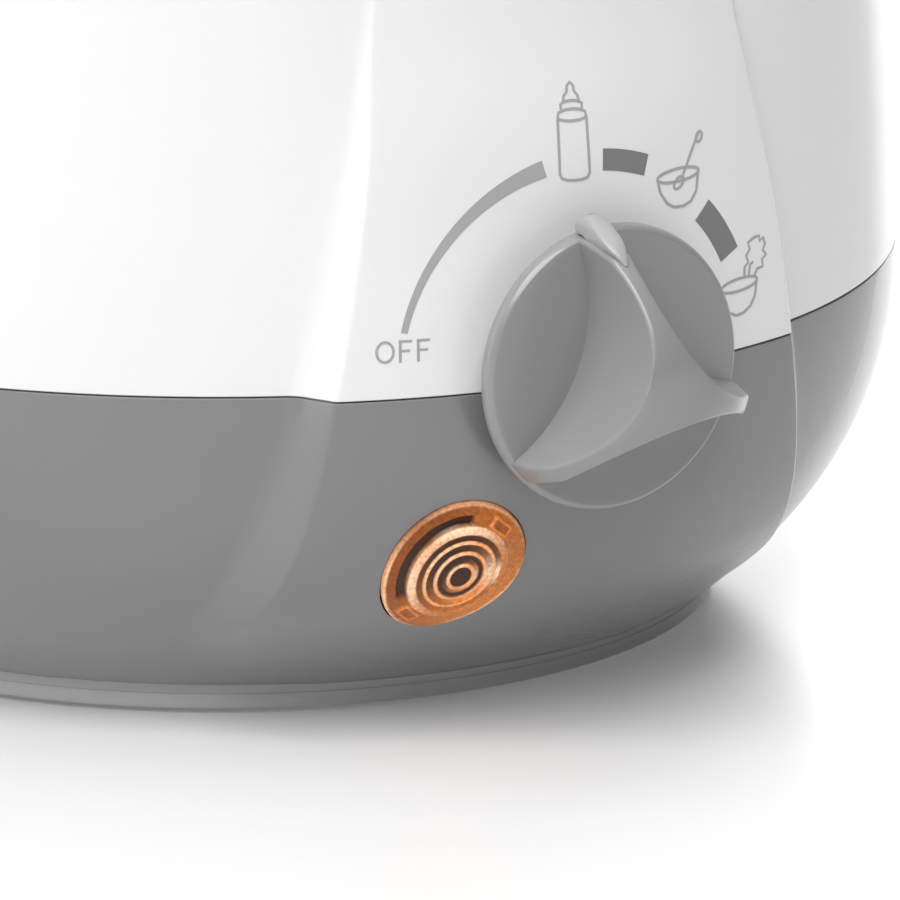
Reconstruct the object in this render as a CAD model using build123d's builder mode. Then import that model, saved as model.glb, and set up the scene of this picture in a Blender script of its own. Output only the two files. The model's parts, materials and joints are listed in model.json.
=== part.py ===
"""Bottle warmer: a round two-colour housing with a raised control panel, a rotary knob,
an indicator light and a heated well. Millimetres, +Z up, origin at the centre of the foot
ring's underside, control panel towards -Y."""

import os
from math import cos, radians, sin, sqrt, tan

from build123d import *

# ---- Housing ----------------------------------------------------------------
seam_z = 37.2            # plane where the white and grey housings meet
seam_gap = 0.3           # height of the parting groove
body_radius = 68.0       # widest radius, at the seam
body_height = 136.0      # top of the white housing
wall = 2.2
shoulder_radius = 56.0   # where the side starts to roll over into the top
shoulder_z = 129.0
crown_radius = 49.0      # where the roll reaches the flat top
mid_radius = 64.75       # the side halfway up the white housing
foot_radius = 51.8       # bottom edge of the grey bowl
foot_z = 4.0
bowl_drop = 13.4         # length of the bowl's vertical tangent below the seam
bowl_reach = 14.75       # length of its tangent at the bottom edge
bowl_angle = 39.0        # slope of the bowl at its bottom edge

# ---- Raised control panel ---------------------------------------------------
panel_radius = 71.05     # distance of the panel's face from the axis, at its fullest
panel_full_z = 40.0      # height where it is fullest
panel_arc_radius = 106.4 # vertical curvature above that height
panel_top_z = 80.0
panel_foot_radius = 50.3
panel_foot_z = 3.2
panel_half_width = 29.3  # half width of the panel's face at panel_width_z
panel_width_z = 18.0
panel_narrowing = 0.164  # half width lost for each millimetre of height
panel_draft = 27.0       # slope of the panel's flanks, in plan
panel_draft_z = (30.0, 58.0)   # the flanks turn square between these heights

# ---- Top and well -----------------------------------------------------------
well_radius = 40.0
well_wall = 1.2
well_floor_z = 43.2
well_seat_z = 132.6      # ledge in the housing that carries the well's flange
well_flange_radius = 47.0
flange_z = 133.2
rim_pocket_radius = 47.6
rim_top_z = 136.5

# ---- Heater, under the well -------------------------------------------------
plate_radius = 34.0
plate_bottom_z = 37.6
element_radius = 24.0    # middle of the ring
element_tube = 3.2
element_gap = 15.0       # half the opening in the ring, in degrees
element_pin_z = 26.0
clamp_radius = 30.0
clamp_thickness = 1.2
stud_radius = 2.5
stud_foot_z = 27.0

# ---- Knob and control -------------------------------------------------------
axis_z = 39.2
shaft_radius = 2.0
shaft_tip = 82.0         # distances below are measured from the body's axis, towards the user
knob_back = 73.3
hub_back = 71.9
knob_face = 74.9
knob_radius = 14.3
knob_face_radius = 13.7
grip_height = 87.0
grip_mid = (7.0, 85.25)  # a point on the crown's curve: radius, distance
grip_end_radius = 14.0
flank_centre = 21.1      # hollow flanks between the three arms
flank_radius = 17.05
flank_draft = 2.8
crest_chamfer = 0.4
pointer_angle = -11.0    # rest position, clockwise from straight up, seen from the front
shaft_hole_radius = 4.2
switch_size = 17.0
switch_front = 65.6

# ---- Board and indicator ----------------------------------------------------
board_front = 56.0
board_thickness = 1.6
board_half_width = 20.0
board_z = (15.0, 56.0)
lens_x, lens_z = -13.0, 19.1
lens_radius = 7.05
lens_clearance = 0.15
lens_flange = 1.4

# ---- Base -------------------------------------------------------------------
base_radius = 49.5
base_bottom_z = 0.4
base_top_z = 3.2
foot_ring_radius = 38.5
foot_ring_width = 4.0
foot_groove_z = 1.4
base_screw_circle = 44.0
post_circle = 45.5
floor_z = 5.5
floor_opening = 26.0

# ---- Cord inlet -------------------------------------------------------------
inlet_z = 20.0
inlet_radius = 6.0
cord_radius = 3.6

front = Plane(origin=(0, 0, 0), x_dir=(1, 0, 0), z_dir=(0, -1, 0))
knob_side = Plane(origin=(0, 0, axis_z), x_dir=(1, 0, 0), z_dir=(0, 0, -1))
knob_axis = Axis((0, 0, axis_z), (0, -1, 0))

os.makedirs("parts", exist_ok=True)


def front_plane(distance):
    """Upright plane facing the user, at a distance from the body's axis."""
    return front.offset(distance)


def save(piece, name):
    piece.label = name
    export_step(piece, f"parts/{name}.step")


def round_body(inset):
    """The plain round body without its panel, drawn in by inset on every side."""
    slope = radians(bowl_angle)
    foot = Vector(foot_radius - inset * sin(slope), foot_z + inset * cos(slope))
    reach = bowl_reach - 0.4 * inset
    tangent = Vector(cos(slope), sin(slope)) * reach
    seam = Vector(body_radius - inset, seam_z)
    drop = Vector(0, bowl_drop - 0.4 * inset)
    top = body_height - inset
    with BuildPart() as body:
        with BuildSketch(Plane.XZ):
            with BuildLine():
                Polyline((0, top), (0, foot.Y - 0.7), (foot.X - 1.0, foot.Y - 0.7), foot)
                Bezier(foot, foot + tangent, seam - drop, seam)
                ThreePointArc(
                    seam, (mid_radius - inset, 83), (shoulder_radius - inset, shoulder_z)
                )
                Bezier(
                    (shoulder_radius - inset, shoulder_z),
                    (shoulder_radius - inset - 1.4, top - 1.4),
                    (crown_radius + 3.5 - inset, top),
                    (crown_radius - inset, top),
                )
                Line((crown_radius - inset, top), (0, top))
            make_face()
        revolve(axis=Axis.Z)
    return body.part


def panel_profile(inset):
    """The panel's vertical outline, as its lower curve and its upper arc."""
    radius = panel_radius - inset
    lower = Bezier(
        (panel_foot_radius - inset, panel_foot_z + 0.8 * inset),
        (panel_foot_radius + 15.8 - inset, panel_foot_z + 10.55 + 0.8 * inset),
        (radius, panel_full_z - 23),
        (radius, panel_full_z),
        mode=Mode.PRIVATE,
    )
    rise = panel_top_z - panel_full_z
    sagitta = panel_arc_radius - sqrt(panel_arc_radius**2 - rise**2)
    half = panel_arc_radius - sqrt(panel_arc_radius**2 - (rise / 2) ** 2)
    upper = ThreePointArc(
        (radius, panel_full_z),
        (radius - half, panel_full_z + rise / 2),
        (radius - sagitta, panel_top_z),
        mode=Mode.PRIVATE,
    )
    return lower, upper


def panel_block(inset):
    """The raised panel: a turned surface, cut off on both sides by its sloping flanks."""
    lower, upper = panel_profile(inset)
    with BuildPart() as turned:
        with BuildSketch(Plane.XZ):
            with BuildLine():
                add(lower)
                add(upper)
                Polyline(upper @ 1, (0, panel_top_z), (0, (lower @ 0).Y), lower @ 0)
            make_face()
        revolve(axis=Axis.Z)
    stations = [lower @ 0, lower @ 0.2, lower @ 0.4, lower @ 0.65, lower @ 1]
    stations += [upper @ 0.3, upper @ 0.6, upper @ 1]
    near, far = 30, 80
    with BuildPart() as keystone:
        for station in stations:
            radius, z = station.X, station.Y
            half = panel_half_width - panel_narrowing * (z - panel_width_z) - inset
            depth = sqrt(radius**2 - half**2)
            low, high = panel_draft_z
            fade = min(max((high - z) / (high - low), 0), 1)
            lean = tan(radians(panel_draft * fade))
            wide = half + lean * (depth - near)
            narrow = half - lean * (far - depth)
            with BuildSketch(Plane.XY.offset(z)):
                Polygon(
                    (-wide, -near), (-narrow, -far), (narrow, -far), (wide, -near), align=None
                )
        loft()
    return turned.part & keystone.part


def ring(outer, inner, low, high):
    """A flat ring about the vertical axis between two heights."""
    with BuildPart() as part:
        with BuildSketch(Plane.XY.offset(low)):
            Circle(outer)
            Circle(inner, mode=Mode.SUBTRACT)
        extrude(amount=high - low)
    return part.part


# ---- Housings: one hollow form, parted at the seam --------------------------
post_radius = 3.0
post_foot_z = 38.4
post_top_z = 64.0
web_foot_z = 41.0
web_reach = 65.9
screw_core = 1.25
board_posts = [(x, z) for x in (-16.5, 16.5) for z in (42.5, 52.5)]
board_post_radius = 3.0
post_reach = 67.2

shell = round_body(0) + panel_block(0) - round_body(wall) - panel_block(wall)

with BuildPart() as upper_housing:
    add(shell)
    split(bisect_by=Plane.XY.offset(seam_z + seam_gap / 2), keep=Keep.TOP)
    # Collar under the top deck, with the pocket for the rim and the well's flange.
    add(ring(crown_radius + 3.0, 42.2, well_seat_z - 2.2, body_height - 1.0))
    with BuildSketch(Plane.XY.offset(well_seat_z)):
        Circle(rim_pocket_radius)
    extrude(amount=10, mode=Mode.SUBTRACT)
    with BuildSketch(Plane.XY.offset(well_seat_z - 4)):
        Circle(42.2)
    extrude(amount=10, mode=Mode.SUBTRACT)
    # Screw posts, each on a web from the side wall.
    with BuildSketch(Plane.XY.offset(post_foot_z)):
        with PolarLocations(post_circle, 4, 45):
            Circle(post_radius)
    extrude(amount=post_top_z - post_foot_z)
    with BuildSketch(Plane.XY.offset(web_foot_z)):
        with PolarLocations((post_circle + web_reach) / 2, 4, 45):
            Rectangle(web_reach - post_circle - 1, 2)
    extrude(amount=post_top_z - web_foot_z)
    with BuildSketch(Plane.XY.offset(post_foot_z)):
        with PolarLocations(post_circle, 4, 45):
            Circle(screw_core)
    extrude(amount=12, mode=Mode.SUBTRACT)
    # Posts for the control board.
    with BuildSketch(front_plane(board_front)):
        with Locations(*board_posts):
            Circle(board_post_radius)
    extrude(amount=post_reach - board_front)
    with BuildSketch(front_plane(board_front)):
        with Locations(*board_posts):
            Circle(1.0)
    extrude(amount=6, mode=Mode.SUBTRACT)
    # Opening for the control's shaft.
    with BuildSketch(front_plane(60)):
        with Locations((0, axis_z)):
            Circle(shaft_hole_radius)
    extrude(amount=20, mode=Mode.SUBTRACT)
save(upper_housing.part, "upper_housing")

tongue_radius = body_radius - wall - 0.3
tongue_wall = 1.2
tongue_top = 40.0
boss_radius = 3.6
screw_radius = 1.5
head_radius = 2.7
head_seat_z = 9.0

with BuildPart() as lower_housing:
    add(shell)
    split(bisect_by=Plane.XY.offset(seam_z - seam_gap / 2), keep=Keep.BOTTOM)
    # Opening in the floor, closed by the base plate.
    with BuildSketch(Plane.XY):
        Circle(floor_opening)
    extrude(amount=10, mode=Mode.SUBTRACT)
    # Tongue behind the parting groove, left out across the panel.
    with BuildSketch(Plane.XY.offset(seam_z - 3.5)):
        Circle(tongue_radius + 0.5)
        Circle(tongue_radius - tongue_wall, mode=Mode.SUBTRACT)
        with Locations((0, -body_radius)):
            Rectangle(76, 60, mode=Mode.SUBTRACT)
    extrude(amount=2.5)
    with BuildSketch(Plane.XY.offset(seam_z - 1.0)):
        Circle(tongue_radius)
        Circle(tongue_radius - tongue_wall, mode=Mode.SUBTRACT)
        with Locations((0, -body_radius)):
            Rectangle(76, 60, mode=Mode.SUBTRACT)
    extrude(amount=tongue_top - seam_z + 1.0)
    # Bosses for the long screws that hold the two housings together.
    with BuildSketch(Plane.XY.offset(floor_z - 1)):
        with PolarLocations(post_circle, 4, 45):
            Circle(boss_radius)
    extrude(amount=post_foot_z - 0.2 - floor_z + 1)
    with BuildSketch(Plane.XY):
        with PolarLocations(post_circle, 4, 45):
            Circle(screw_radius + 0.2)
    extrude(amount=post_foot_z, mode=Mode.SUBTRACT)
    with BuildSketch(Plane.XY):
        with PolarLocations(post_circle, 4, 45):
            Circle(head_radius + 0.2)
    extrude(amount=head_seat_z, mode=Mode.SUBTRACT)
    # Bosses for the base plate's screws.
    with BuildSketch(Plane.XY.offset(floor_z - 1)):
        with PolarLocations(base_screw_circle, 4):
            Circle(3.2)
    extrude(amount=7)
    with BuildSketch(Plane.XY):
        with PolarLocations(base_screw_circle, 4):
            Circle(screw_core)
    extrude(amount=10.5, mode=Mode.SUBTRACT)
    # Openings for the shaft, the indicator lens and the cord.
    with BuildSketch(front_plane(55)):
        with Locations((0, axis_z)):
            Circle(shaft_hole_radius)
        with Locations((lens_x, lens_z)):
            Circle(lens_radius + lens_clearance)
    extrude(amount=25, mode=Mode.SUBTRACT)
    with BuildSketch(Plane.XZ.offset(-50)):
        with Locations((0, inlet_z)):
            Circle(inlet_radius)
    extrude(amount=-25, mode=Mode.SUBTRACT)
save(lower_housing.part, "lower_housing")

# ---- Base -------------------------------------------------------------------
with BuildPart() as base_plate:
    with BuildSketch(Plane.XY.offset(base_bottom_z)):
        Circle(base_radius)
    extrude(amount=base_top_z - base_bottom_z)
    rim_edges = base_plate.edges().filter_by(GeomType.CIRCLE).group_by(Axis.Z)
    fillet(rim_edges[0], 0.5)
    with BuildSketch(Plane.XY.offset(base_bottom_z)):
        Circle(foot_ring_radius + 0.05)
        Circle(foot_ring_radius - foot_ring_width - 0.05, mode=Mode.SUBTRACT)
    extrude(amount=foot_groove_z - base_bottom_z, mode=Mode.SUBTRACT)
    with BuildSketch(Plane.XY.offset(base_bottom_z)):
        with PolarLocations(base_screw_circle, 4):
            Circle(screw_radius + 0.2)
    extrude(amount=5, mode=Mode.SUBTRACT)
    with BuildSketch(Plane.XY.offset(base_bottom_z)):
        with PolarLocations(base_screw_circle, 4):
            Circle(head_radius + 0.2)
    extrude(amount=1.6, mode=Mode.SUBTRACT)
    # Slots that let heat and drips out.
    with BuildSketch(Plane.XY.offset(base_bottom_z)):
        with Locations((0, -12), (0, -6), (0, 0), (0, 6), (0, 12)):
            SlotOverall(26, 2.4)
    extrude(amount=5, mode=Mode.SUBTRACT)
save(base_plate.part, "base_plate")

with BuildPart() as foot_ring:
    add(ring(foot_ring_radius, foot_ring_radius - foot_ring_width, 0, foot_groove_z))
    chamfer(foot_ring.edges().group_by(Axis.Z)[0], 0.25)
save(foot_ring.part, "foot_ring")


def screw(bottom, shank_top, head_height):
    """A pan-head screw pointing up, with a cross recess in its head."""
    with BuildPart() as part:
        with BuildSketch(Plane.XY.offset(bottom)):
            Circle(head_radius)
        extrude(amount=head_height)
        chamfer(part.edges().group_by(Axis.Z)[0], 0.4)
        with BuildSketch(Plane.XY.offset(bottom)):
            Rectangle(3.0, 0.7)
            Rectangle(0.7, 3.0)
        extrude(amount=0.9, mode=Mode.SUBTRACT)
        with BuildSketch(Plane.XY.offset(bottom + head_height)):
            Circle(screw_radius - 0.3)
        extrude(amount=shank_top - bottom - head_height)
    return part.part


long_screw = screw(head_seat_z - 2.2, post_foot_z + 9, 2.2)
short_screw = screw(base_bottom_z + 0.1, 9.5, 1.5)
with BuildPart() as housing_screws:
    with PolarLocations(post_circle, 4, 45):
        add(long_screw)
save(housing_screws.part, "housing_screws")

with BuildPart() as base_screws:
    with PolarLocations(base_screw_circle, 4):
        add(short_screw)
save(base_screws.part, "base_screws")

# ---- Well and rim -----------------------------------------------------------
with BuildPart() as warming_well:
    with BuildSketch(Plane.XZ):
        with BuildLine():
            Polyline(
                (0, well_floor_z - well_wall),
                (well_radius + well_wall, well_floor_z - well_wall),
                (well_radius + well_wall, flange_z),
                (well_flange_radius, flange_z),
                (well_flange_radius, flange_z + well_wall),
                (well_radius, flange_z + well_wall),
                (well_radius, well_floor_z),
                (0, well_floor_z),
                close=True,
            )
        make_face()
    revolve(axis=Axis.Z)
    corners = warming_well.edges().filter_by(GeomType.CIRCLE)
    fillet(corners.filter_by(lambda e: abs(e.radius - well_radius) < 0.01), 1.1)
    corners = warming_well.edges().filter_by(GeomType.CIRCLE)
    fillet(corners.sort_by(Axis.Z).filter_by(lambda e: e.center().Z < well_floor_z - 1), 1.1)
    # Welded stud for the heater.
    with BuildSketch(Plane.XY.offset(stud_foot_z)):
        Circle(stud_radius)
    extrude(amount=well_floor_z - stud_foot_z - 0.6)
save(warming_well.part, "warming_well")

well_seal = ring(well_flange_radius - 0.2, well_radius + 3.0, well_seat_z, flange_z)
save(well_seal, "well_seal")

rim_foot_z = flange_z + well_wall
with BuildPart() as rim_ring:
    add(ring(well_flange_radius + 0.4, well_radius + 0.6, rim_foot_z, rim_top_z))
    fillet(rim_ring.edges().group_by(Axis.Z)[-1], 0.8)
save(rim_ring.part, "rim_ring")

# ---- Heater -----------------------------------------------------------------
with BuildPart() as heater_element:
    start = element_gap - 90
    with BuildSketch(Plane.XZ.rotated((0, 0, start))):
        with Locations((element_radius, plate_bottom_z)):
            Circle(element_tube)
    revolve(axis=Axis.Z, revolution_arc=360 - 2 * element_gap)
    for side in (start, -90 - element_gap):
        end = (element_radius * cos(radians(side)), element_radius * sin(radians(side)))
        with BuildSketch(Plane.XY.offset(element_pin_z)):
            with Locations(end):
                Circle(element_tube - 0.4)
        extrude(amount=plate_bottom_z - element_pin_z)
save(heater_element.part, "heater_element")

with BuildPart() as heating_plate:
    add(ring(plate_radius, stud_radius + 0.2, plate_bottom_z, well_floor_z - well_wall))
    with BuildSketch(Plane.XZ):
        with Locations((element_radius, plate_bottom_z)):
            Circle(element_tube + 0.02)
    revolve(axis=Axis.Z, mode=Mode.SUBTRACT)
save(heating_plate.part, "heating_plate")

clamp_top_z = plate_bottom_z - element_tube
with BuildPart() as heater_clamp:
    add(ring(clamp_radius, stud_radius + 0.2, clamp_top_z - clamp_thickness, clamp_top_z))
    with BuildSketch(Plane.XY.offset(clamp_top_z - clamp_thickness)):
        with Locations((0, -element_radius)):
            Rectangle(24, 14)
        with PolarLocations(14, 5, 18):
            Circle(2.5)
    extrude(amount=clamp_thickness, mode=Mode.SUBTRACT)
save(heater_clamp.part, "heater_clamp")

nut_height = 4.0
nut_z = clamp_top_z - clamp_thickness - nut_height
with BuildPart() as clamp_nut:
    with BuildSketch(Plane.XY.offset(nut_z)):
        RegularPolygon(4.6, 6)
        Circle(stud_radius + 0.05, mode=Mode.SUBTRACT)
    extrude(amount=nut_height)
save(clamp_nut.part, "clamp_nut")

fuse_radius = 1.8
fuse_y = 21.0
fuse_z = clamp_top_z - clamp_thickness - fuse_radius - 0.7
with BuildPart() as thermal_fuse:
    with BuildSketch(Plane.YZ.offset(-6)):
        with Locations((fuse_y, fuse_z)):
            Circle(fuse_radius)
    extrude(amount=12)
    with BuildSketch(Plane.YZ.offset(-10)):
        with Locations((fuse_y, fuse_z)):
            Circle(0.5)
    extrude(amount=20)
save(thermal_fuse.part, "thermal_fuse")

clip_width = 4.0
with BuildPart() as fuse_clip:
    with BuildSketch(Plane.YZ.offset(-clip_width / 2)):
        with Locations((fuse_y, fuse_z)):
            Circle(fuse_radius + 0.7)
        with Locations((fuse_y, fuse_z + fuse_radius + 0.4)):
            Rectangle(12, 0.6)
        with Locations((fuse_y, fuse_z)):
            Circle(fuse_radius + 0.05, mode=Mode.SUBTRACT)
    extrude(amount=clip_width)
save(fuse_clip.part, "fuse_clip")

# ---- Temperature sensor, strapped to the back of the well -------------------
sensor_radius = 2.0
sensor_y = well_radius + well_wall + sensor_radius + 0.05
with BuildPart() as temperature_sensor:
    with BuildSketch(Plane.XY.offset(60)):
        with Locations((0, sensor_y)):
            Circle(sensor_radius)
    extrude(amount=14)
    fillet(temperature_sensor.edges().filter_by(GeomType.CIRCLE), 0.8)
save(temperature_sensor.part, "temperature_sensor")


def strap(grow):
    """A block bounded by a string pulled round the well and the sensor."""
    with BuildPart() as block:
        with BuildSketch(Plane.XY.offset(65)):
            with BuildLine():
                CenterArc((0, 0), well_radius + well_wall + 0.05 + grow, 0, 360)
                CenterArc((0, sensor_y), sensor_radius + 0.05 + grow, 0, 360)
            make_hull()
        extrude(amount=4)
    return block.part


sensor_band = strap(0.5) - strap(0)
save(sensor_band, "sensor_band")

# ---- Control board, rotary switch and indicator -----------------------------
board_back = board_front - board_thickness
board_middle = (board_z[0] + board_z[1]) / 2
with BuildPart() as control_board:
    with BuildSketch(front_plane(board_back)):
        with Locations((0, board_middle)):
            Rectangle(2 * board_half_width, board_z[1] - board_z[0])
        with Locations(*board_posts):
            Circle(1.2, mode=Mode.SUBTRACT)
    extrude(amount=board_thickness)
    # Relay and capacitor on the back of the board.
    with BuildSketch(front_plane(board_back - 9)):
        with Locations((-8, 31)):
            Rectangle(12, 16)
    extrude(amount=9)
    with BuildSketch(front_plane(board_back - 10)):
        with Locations((11, 30)):
            Circle(4)
    extrude(amount=10)
save(control_board.part, "control_board")

with BuildPart() as board_screws:
    with BuildSketch(front_plane(board_back - 1.4)):
        with Locations(*board_posts):
            Circle(2.0)
    extrude(amount=1.4)
    with BuildSketch(front_plane(board_back)):
        with Locations(*board_posts):
            Circle(0.95)
    extrude(amount=6)
save(board_screws.part, "board_screws")

bush_radius = 3.5
bush_front = 70.0
with BuildPart() as rotary_switch:
    with BuildSketch(front_plane(board_front)):
        with Locations((0, axis_z)):
            RectangleRounded(switch_size, switch_size, 1)
    extrude(amount=switch_front - board_front)
    with BuildSketch(front_plane(switch_front)):
        with Locations((0, axis_z)):
            Circle(bush_radius)
    extrude(amount=bush_front - switch_front)
    with BuildSketch(front_plane(board_front + 1)):
        with Locations((0, axis_z)):
            Circle(shaft_radius + 0.05)
    extrude(amount=20, mode=Mode.SUBTRACT)
save(rotary_switch.part, "rotary_switch")

flat_depth = 0.6
with BuildPart() as switch_shaft:
    with BuildSketch(front_plane(board_front + 1.2)):
        with Locations((0, axis_z)):
            Circle(shaft_radius)
    extrude(amount=shaft_tip - board_front - 1.2)
    with BuildSketch(front_plane(hub_back - 0.2)):
        with Locations((0, axis_z + 2 * shaft_radius - flat_depth)):
            Rectangle(4 * shaft_radius, 2 * shaft_radius)
    extrude(amount=20, mode=Mode.SUBTRACT)
save(switch_shaft.part, "switch_shaft")

with BuildPart() as indicator_led:
    with BuildSketch(front_plane(board_front)):
        with Locations((lens_x, lens_z)):
            Circle(2.5)
    extrude(amount=4)
    fillet(indicator_led.edges().sort_by(Axis.Y)[0], 2.2)
save(indicator_led.part, "indicator_led")

with BuildPart() as led_holder:
    with BuildSketch(front_plane(board_front)):
        with Locations((lens_x, lens_z)):
            Circle(3.8)
            Circle(2.6, mode=Mode.SUBTRACT)
    extrude(amount=2.0)
save(led_holder.part, "led_holder")

lens_proud = 0.9
lens_depth = 2.0
with BuildPart() as lens_barrel:
    with BuildSketch(front_plane(50)):
        with Locations((lens_x, lens_z)):
            Circle(lens_radius)
    extrude(amount=30)
with BuildPart() as flange_barrel:
    with BuildSketch(front_plane(50)):
        with Locations((lens_x, lens_z)):
            Circle(lens_radius + lens_flange)
    extrude(amount=30)
face_gap = 0.15
lens_body = (lens_barrel.part & panel_block(-lens_proud)) - panel_block(wall + 1.2)
lens_lip = (flange_barrel.part & panel_block(wall + face_gap)) - panel_block(wall + 1.2)
indicator_lens = lens_body + lens_lip
save(indicator_lens, "indicator_lens")

# ---- Knob -------------------------------------------------------------------
pointer_root = 12.1      # the pointer's reach along its arm, from the knob's axis
pointer_tip = 16.3
pointer_half_width = 1.25
pointer_proud = 0.3


def crown(radius):
    """Height of the grip's crown at a radius from the knob's axis."""
    return grip_height - 0.052 * max(radius - 1.2, 0) ** 2


def arm_direction(turn):
    """Unit vector along an arm, in the plane of the knob's face."""
    angle = radians(90 - pointer_angle - turn)
    return Vector(cos(angle), sin(angle))


pointer_plane = Plane(
    origin=(0, 0, axis_z),
    x_dir=(sin(radians(pointer_angle)), 0, cos(radians(pointer_angle))),
    z_dir=(cos(radians(pointer_angle)), 0, -sin(radians(pointer_angle))),
)
with BuildPart() as knob_pointer:
    with BuildSketch(pointer_plane):
        with BuildLine():
            Polyline(
                (pointer_tip, knob_face + 0.6),
                (pointer_tip - 0.3, knob_face - 0.5),
                (knob_radius + 0.1, knob_face - 1.4),
                (knob_radius + 0.1, knob_face + 0.4),
                (pointer_root + 0.5, knob_face + 3.4),
                (pointer_root, crown(pointer_root) + pointer_proud),
            )
            ThreePointArc(
                (pointer_root, crown(pointer_root) + pointer_proud),
                (14.4, knob_face + 3.9),
                (pointer_tip, knob_face + 0.6),
            )
        make_face()
    extrude(amount=pointer_half_width, both=True)
save(knob_pointer.part, "knob_pointer")

grip_sink = 1.0          # the grip is built this far into the disc

with BuildPart() as knob:
    # Three-armed grip: a turned crown with three hollow flanks.
    with BuildSketch(knob_side):
        with BuildLine():
            Line((0, knob_face - grip_sink), (0, grip_height))
            ThreePointArc(
                (0, grip_height), grip_mid, (grip_end_radius, crown(grip_end_radius))
            )
            Polyline(
                (grip_end_radius, crown(grip_end_radius)),
                (grip_end_radius - 0.4, knob_face - grip_sink),
                (0, knob_face - grip_sink),
            )
        make_face()
    revolve(axis=knob_axis)
    with BuildSketch(front_plane(knob_face - grip_sink)):
        for turn in (60, 180, 300):
            with Locations(Vector(0, axis_z) + arm_direction(turn) * flank_centre):
                Circle(flank_radius - grip_sink * tan(radians(flank_draft)))
    extrude(amount=grip_height - knob_face + 2, taper=-flank_draft, mode=Mode.SUBTRACT)
    crest = knob.edges().filter_by(lambda e: e.bounding_box().min.Y < -82.5)
    chamfer(crest.filter_by(lambda e: e.length > 6), crest_chamfer)
    # Disc behind the grip.
    with BuildSketch(knob_side):
        with BuildLine():
            Polyline(
                (0, knob_back), (knob_radius, knob_back), (knob_radius, knob_back + 0.5)
            )
            ThreePointArc(
                (knob_radius, knob_back + 0.5),
                (knob_radius - 0.15, knob_face - 0.5),
                (knob_face_radius - 0.1, knob_face),
            )
            Polyline((knob_face_radius - 0.1, knob_face), (0, knob_face), (0, knob_back))
        make_face()
    revolve(axis=knob_axis)
    # Hub behind the disc, with the bore for the shaft.
    with BuildSketch(front_plane(hub_back)):
        with Locations((0, axis_z)):
            Circle(4.0)
    extrude(amount=knob_back - hub_back)
    with BuildSketch(front_plane(hub_back)):
        with Locations((0, axis_z)):
            Circle(shaft_radius)
        with Locations((0, axis_z + 2 * shaft_radius - flat_depth)):
            Rectangle(4 * shaft_radius, 2 * shaft_radius, mode=Mode.SUBTRACT)
    extrude(amount=shaft_tip - hub_back + 0.3, mode=Mode.SUBTRACT)
    add(knob_pointer.part, mode=Mode.SUBTRACT)
save(knob.part, "knob")

with BuildPart() as knob_spring:
    with BuildSketch(front_plane(hub_back + 0.2)):
        with Locations((0, axis_z)):
            Circle(4.5)
            Circle(4.0, mode=Mode.SUBTRACT)
        with Locations((0, axis_z + 4.2)):
            Rectangle(2, 2, mode=Mode.SUBTRACT)
    extrude(amount=1.0)
save(knob_spring.part, "knob_spring")

# ---- Supply -----------------------------------------------------------------
with BuildPart() as cord_inlet_bush:
    with BuildSketch(Plane.XZ.offset(-58)):
        with Locations((0, inlet_z)):
            Circle(inlet_radius)
    extrude(amount=-9)
    with BuildSketch(Plane.XZ.offset(-67)):
        with Locations((0, inlet_z)):
            Circle(inlet_radius + 1.5)
    extrude(amount=-1.6)
    with BuildSketch(Plane.XZ.offset(-58)):
        with Locations((0, inlet_z)):
            Circle(cord_radius)
    extrude(amount=-12, mode=Mode.SUBTRACT)
save(cord_inlet_bush.part, "cord_inlet_bush")

block_y = 31.0
block_size = (22.0, 14.0, 12.0)
with BuildPart() as terminal_block:
    with BuildSketch(Plane.XY.offset(floor_z)):
        with Locations((0, block_y)):
            Rectangle(block_size[0], block_size[1])
    extrude(amount=block_size[2])
    with BuildSketch(Plane.XY.offset(floor_z + 4)):
        with Locations((-6, block_y), (6, block_y)):
            Circle(2)
    extrude(amount=20, mode=Mode.SUBTRACT)
save(terminal_block.part, "terminal_block")

lead_radius = 1.2


def lead(points, bend):
    """A round lead along straight runs joined by arcs of one radius."""
    with BuildLine() as route:
        FilletPolyline(*points, radius=bend)
    with BuildPart() as tube:
        with BuildSketch(Plane(origin=route.line @ 0, z_dir=route.line % 0)):
            Circle(lead_radius)
        sweep(path=route.line)
    return tube.part


supply_y = block_y - block_size[1] / 2
with BuildPart() as supply_leads:
    for x in (-3, 3):
        add(lead([(x, supply_y, 12), (x, -15, 12), (x, -38, 17), (x, -board_back, 17)], 20))
save(supply_leads.part, "supply_leads")

heater_leads_z = 21.5
element_x = element_radius * sin(radians(element_gap))
element_y = element_radius * cos(radians(element_gap))
with BuildPart() as heater_leads:
    for x in (-element_x, element_x):
        pin = (x, -element_y, element_pin_z)
        corner = (x, -element_y, heater_leads_z)
        add(lead([pin, corner, (x, -board_back, heater_leads_z)], 3.5))
save(heater_leads.part, "heater_leads")
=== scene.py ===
import json
import math

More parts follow.
